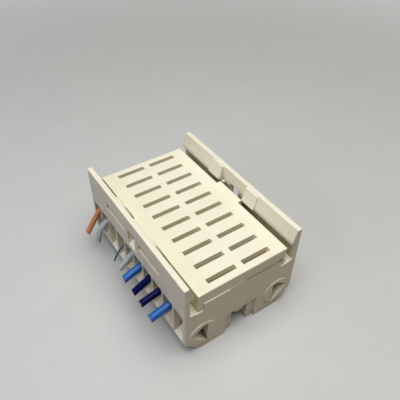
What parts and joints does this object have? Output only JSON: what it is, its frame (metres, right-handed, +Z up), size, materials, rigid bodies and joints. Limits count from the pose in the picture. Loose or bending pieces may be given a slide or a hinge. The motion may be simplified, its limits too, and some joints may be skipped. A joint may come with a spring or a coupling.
{
  "type": "terminal block",
  "caption": "Terminal block of ivory plastic with a slotted lift-off cover between tall side flanges, open wire cells along both sides and cut wire stubs held in one side.",
  "frame": {"origin": "centre of the base, in the mouth of the underside channel", "axes": "+Z up through the cover, +Y along the row of poles, -X towards the side that holds the wire stubs"},
  "size_m": [0.0635, 0.0816, 0.0428],
  "materials": {
    "housing_plastic": "satin moulded, ivory",
    "cover_plastic": "satin moulded, ivory",
    "bar_brass": "plain drawn",
    "spring_steel": "bright strip",
    "sleeve_orange": "smooth",
    "sleeve_grey": "smooth",
    "sleeve_teal": "smooth",
    "sleeve_light_blue": "smooth",
    "sleeve_dark_blue": "smooth",
    "copper": "bare cut copper"
  },
  "bodies": {
    "block": {"housing": "housing_plastic", "current_bar_01": "bar_brass", "current_bar_02": "bar_brass", "current_bar_03": "bar_brass", "current_bar_04": "bar_brass", "current_bar_05": "bar_brass", "current_bar_06": "bar_brass", "current_bar_07": "bar_brass", "current_bar_08": "bar_brass", "current_bar_09": "bar_brass", "current_bar_10": "bar_brass", "clamp_spring_left_01": "spring_steel", "clamp_spring_right_01": "spring_steel", "clamp_spring_left_02": "spring_steel", "clamp_spring_right_02": "spring_steel", "clamp_spring_left_03": "spring_steel", "clamp_spring_right_03": "spring_steel", "clamp_spring_left_04": "spring_steel", "clamp_spring_right_04": "spring_steel", "clamp_spring_left_05": "spring_steel", "clamp_spring_right_05": "spring_steel", "clamp_spring_left_06": "spring_steel", "clamp_spring_right_06": "spring_steel", "clamp_spring_left_07": "spring_steel", "clamp_spring_right_07": "spring_steel", "clamp_spring_left_08": "spring_steel", "clamp_spring_right_08": "spring_steel", "clamp_spring_left_09": "spring_steel", "clamp_spring_right_09": "spring_steel", "clamp_spring_left_10": "spring_steel", "clamp_spring_right_10": "spring_steel", "wire_01_sleeve": "sleeve_orange", "wire_02_sleeve": "sleeve_grey", "wire_04_sleeve": "sleeve_teal", "wire_05_sleeve": "sleeve_grey", "wire_06_sleeve": "sleeve_light_blue", "wire_07_sleeve": "sleeve_dark_blue", "wire_08_sleeve": "sleeve_dark_blue", "wire_09_sleeve": "sleeve_light_blue", "wire_01_core": "copper", "wire_02_core": "copper", "wire_04_core": "copper", "wire_05_core": "copper", "wire_06_core": "copper", "wire_07_core": "copper", "wire_08_core": "copper", "wire_09_core": "copper"},
    "cover": {"slotted_cover": "cover_plastic"}
  },
  "joints": [
    {"name": "cover_lift", "type": "slide", "parent": "block", "child": "cover", "axis": [0, 0, 1], "range_m": [0, 0.025]}
  ]
}
